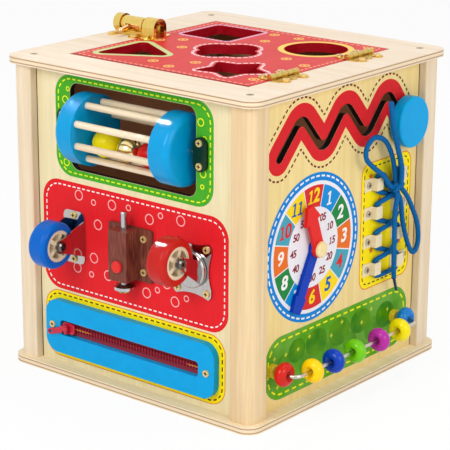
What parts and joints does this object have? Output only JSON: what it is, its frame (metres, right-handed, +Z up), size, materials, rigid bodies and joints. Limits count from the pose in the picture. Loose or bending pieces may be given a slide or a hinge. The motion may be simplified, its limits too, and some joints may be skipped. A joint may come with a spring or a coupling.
{
  "type": "shape sorter",
  "caption": "Wooden activity cube: shape-sorting lid on hinges with a bolt, bead drum, casters, latch, zip, zig-zag knob, clock, lacing and bead wire.",
  "frame": {"origin": "middle of the base board's underside, on the surface the cube stands on", "axes": "+Z up; -Y out of the front face with the drum; +X out of the right face with the clock"},
  "size_m": [0.272, 0.284, 0.2702],
  "materials": {
    "plywood": "bare birch plywood, clear varnish",
    "lid_red": "red print on plywood, dark red edges",
    "brass": "bright",
    "chrome": "mirror plated",
    "steel": "bright steel",
    "blue_wood": "gloss sky-blue paint",
    "pale_wood": "bare turned wood",
    "green_plastic": "moulded",
    "tyre_blue": "semi-gloss",
    "tyre_red": "semi-gloss",
    "cream_plastic": "moulded",
    "brown_wood": "stained and varnished",
    "red_plastic": "moulded",
    "tape_maroon": "woven",
    "teeth_maroon": "moulded",
    "slider_red": "enamelled",
    "hand_blue": "painted",
    "red_wood": "gloss paint",
    "yellow_wood": "gloss paint",
    "dark_blue_wood": "gloss paint",
    "green_wood": "gloss paint",
    "purple_wood": "gloss paint",
    "light_blue_wood": "gloss paint",
    "lace_blue": "braided"
  },
  "bodies": {
    "case": {"base_board": "plywood", "top_board": "plywood", "corner_posts": "plywood", "front_panel": "plywood", "right_panel": "plywood", "back_panel": "plywood", "left_panel": "plywood", "case_screws": "steel", "brass_screws": "brass", "eyelet_screws": "steel", "hinge_leaves_board": "brass", "hinge_pins": "brass", "bolt_barrel": "brass", "drum_brackets": "green_plastic", "caster_bracket": "chrome", "caster_axle": "chrome", "latch_body": "brown_wood", "swivel_plate": "chrome", "zip_board": "blue_wood", "zip_tape": "tape_maroon", "zip_teeth": "teeth_maroon", "clock_peg": "pale_wood", "lace_eyelets": "steel", "lace_crossing": "lace_blue", "lace_bow": "lace_blue", "bead_wire": "steel", "wire_pegs": "yellow_wood"},
    "lid": {"lid": "lid_red", "hinge_leaves_lid": "brass", "bolt_keeper": "brass", "lid_screws": "brass"},
    "bolt_rod": {"bolt_rod": "brass"},
    "drum": {"drum_discs": "blue_wood", "drum_dowels": "pale_wood", "drum_pins": "steel"},
    "ball_yellow": {"ball_yellow": "yellow_wood"},
    "bell": {"bell": "brass"},
    "ball_red": {"ball_red": "red_wood"},
    "caster_wheel": {"caster_tyre": "tyre_blue", "caster_hub": "cream_plastic"},
    "latch_pin": {"latch_pin": "chrome"},
    "latch_button": {"latch_button": "red_plastic"},
    "swivel_yoke": {"swivel_yoke": "chrome", "swivel_axle": "chrome"},
    "swivel_wheel": {"swivel_tyre": "tyre_red", "swivel_hub": "cream_plastic"},
    "zip_slider": {"zip_slider": "slider_red"},
    "zip_pull": {"zip_pull": "slider_red"},
    "knob_runner": {"knob_runner": "cream_plastic"},
    "knob": {"knob_disc": "blue_wood", "knob_spindle": "steel"},
    "hour_hand": {"hour_hand": "red_wood"},
    "minute_hand": {"minute_hand": "hand_blue"},
    "bead_red": {"bead_red": "red_wood"},
    "bead_yellow_left": {"bead_yellow_left": "yellow_wood"},
    "bead_dark_blue": {"bead_dark_blue": "dark_blue_wood"},
    "bead_green": {"bead_green": "green_wood"},
    "bead_purple": {"bead_purple": "purple_wood"},
    "bead_yellow_right": {"bead_yellow_right": "yellow_wood"},
    "bead_light_blue": {"bead_light_blue": "light_blue_wood"}
  },
  "joints": [
    {"name": "lid_hinge", "type": "hinge", "parent": "case", "child": "lid", "pos_m": [0.0914, 0, 0.2565], "axis": [0, 1, 0], "range_deg": [0, 160]},
    {"name": "bolt_slide", "type": "slide", "parent": "case", "child": "bolt_rod", "axis": [1, 0, 0], "range_m": [0, 0.01]},
    {"name": "drum_spin", "type": "hinge", "parent": "case", "child": "drum", "pos_m": [-0.001, -0.1116, 0.2045], "axis": [1, 0, 0], "continuous": true},
    {"name": "ball_yellow_roll", "type": "hinge", "parent": "case", "child": "ball_yellow", "pos_m": [-0.001, -0.1116, 0.2045], "axis": [1, 0, 0], "range_deg": [-40, 85]},
    {"name": "bell_roll", "type": "hinge", "parent": "case", "child": "bell", "pos_m": [-0.001, -0.1116, 0.2045], "axis": [1, 0, 0], "range_deg": [-40, 85]},
    {"name": "ball_red_roll", "type": "hinge", "parent": "case", "child": "ball_red", "pos_m": [-0.001, -0.1116, 0.2045], "axis": [1, 0, 0], "range_deg": [-40, 85]},
    {"name": "caster_spin", "type": "hinge", "parent": "case", "child": "caster_wheel", "pos_m": [-0.0615, -0.1405, 0.1155], "axis": [1, 0, 0], "continuous": true},
    {"name": "latch_pin_slide", "type": "slide", "parent": "case", "child": "latch_pin", "axis": [0, 0, 1], "range_m": [-0.01, 0.003]},
    {"name": "latch_button_press", "type": "slide", "parent": "case", "child": "latch_button", "axis": [0, 1, 0], "range_m": [0, 0.0016], "stiffness_N_per_m": 300},
    {"name": "swivel_turn", "type": "hinge", "parent": "case", "child": "swivel_yoke", "pos_m": [0.06, -0.1135, 0.1155], "axis": [0, 1, 0], "continuous": true},
    {"name": "swivel_spin", "type": "hinge", "parent": "swivel_yoke", "child": "swivel_wheel", "pos_m": [0.06, -0.1405, 0.1275], "axis": [1, 0, 0], "continuous": true},
    {"name": "zip_slide", "type": "slide", "parent": "case", "child": "zip_slider", "axis": [1, 0, 0], "range_m": [0, 0.12]},
    {"name": "zip_pull_swing", "type": "hinge", "parent": "zip_slider", "child": "zip_pull", "pos_m": [-0.067, -0.1207, 0.0385], "axis": [0, 0, 1], "range_deg": [0, 180]},
    {"name": "knob_slide", "type": "slide", "parent": "case", "child": "knob_runner", "axis": [0, -0.6112, 0.7914], "range_m": [0, 0.024]},
    {"name": "knob_spin", "type": "hinge", "parent": "knob_runner", "child": "knob", "pos_m": [0.1135, 0.0785, 0.2015], "axis": [1, 0, 0], "continuous": true},
    {"name": "hour_hand_turn", "type": "hinge", "parent": "case", "child": "hour_hand", "pos_m": [0.1135, -0.037, 0.124], "axis": [-1, 0, 0], "continuous": true},
    {"name": "minute_hand_turn", "type": "hinge", "parent": "case", "child": "minute_hand", "pos_m": [0.1135, -0.037, 0.124], "axis": [-1, 0, 0], "continuous": true},
    {"name": "bead_red_slide", "type": "slide", "parent": "case", "child": "bead_red", "axis": [1, 0, 0], "range_m": [-0.0025, 0]},
    {"name": "bead_yellow_left_slide", "type": "slide", "parent": "case", "child": "bead_yellow_left", "axis": [0, 1, 0], "range_m": [-0.0002, 0.0081]},
    {"name": "bead_dark_blue_slide", "type": "slide", "parent": "case", "child": "bead_dark_blue", "axis": [0, 1, 0], "range_m": [-0.0081, 0.0088]},
    {"name": "bead_green_slide", "type": "slide", "parent": "case", "child": "bead_green", "axis": [0, 1, 0], "range_m": [-0.0088, 0.0108]},
    {"name": "bead_purple_slide", "type": "slide", "parent": "case", "child": "bead_purple", "axis": [0, 1, 0], "range_m": [-0.0108, 0.0093]},
    {"name": "bead_yellow_right_slide", "type": "slide", "parent": "case", "child": "bead_yellow_right", "axis": [0, 1, 0], "range_m": [-0.0093, 0.0093]},
    {"name": "bead_light_blue_slide", "type": "slide", "parent": "case", "child": "bead_light_blue", "axis": [1, 0, 0], "range_m": [-0.0025, 0]}
  ]
}
